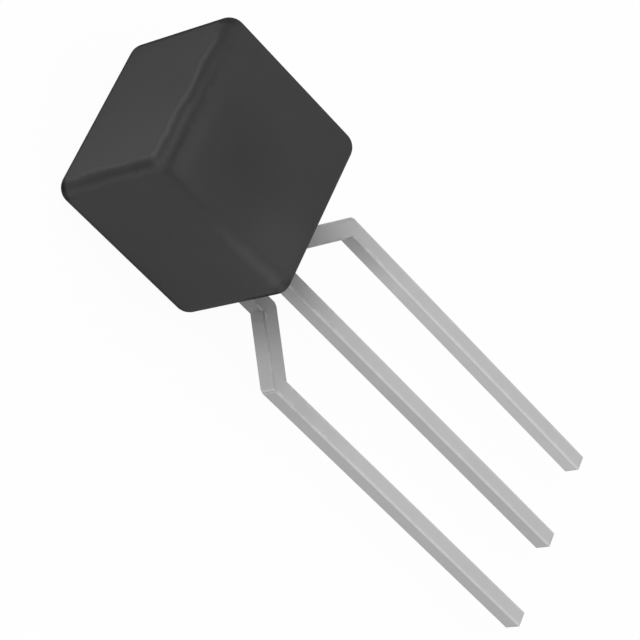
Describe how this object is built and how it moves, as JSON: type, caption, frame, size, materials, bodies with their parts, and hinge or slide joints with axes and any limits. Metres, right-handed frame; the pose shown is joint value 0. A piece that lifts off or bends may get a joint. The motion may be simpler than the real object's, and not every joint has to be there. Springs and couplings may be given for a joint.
{
  "type": "small-signal transistor, to-92 with formed leads",
  "caption": "Through-hole transistor: rounded moulded epoxy block on a stamped lead frame, outer leads formed outward to a wider pitch, with die and bond wires inside.",
  "frame": {"origin": "centre of the back face, the wide face of the block nearest to the leads, on which the part lies", "axes": "+X along the row of leads, from the emitter lead to the base lead; +Y along the leads, from their tips to the closed end of the block; +Z out through the front face"},
  "size_m": [0.0056, 0.0177, 0.0038],
  "materials": {
    "epoxy": "satin-matte moulded black epoxy",
    "tinned_lead": "satin tin plating",
    "silicon": "polished silicon",
    "solder": "dull solder",
    "gold_wire": "bright gold wire"
  },
  "bodies": {
    "root": {"moulded_block": "epoxy", "collector_lead": "tinned_lead", "emitter_lead": "tinned_lead", "base_lead": "tinned_lead", "die": "silicon", "die_attach": "solder", "emitter_wire": "gold_wire", "base_wire": "gold_wire"}
  },
  "joints": []
}
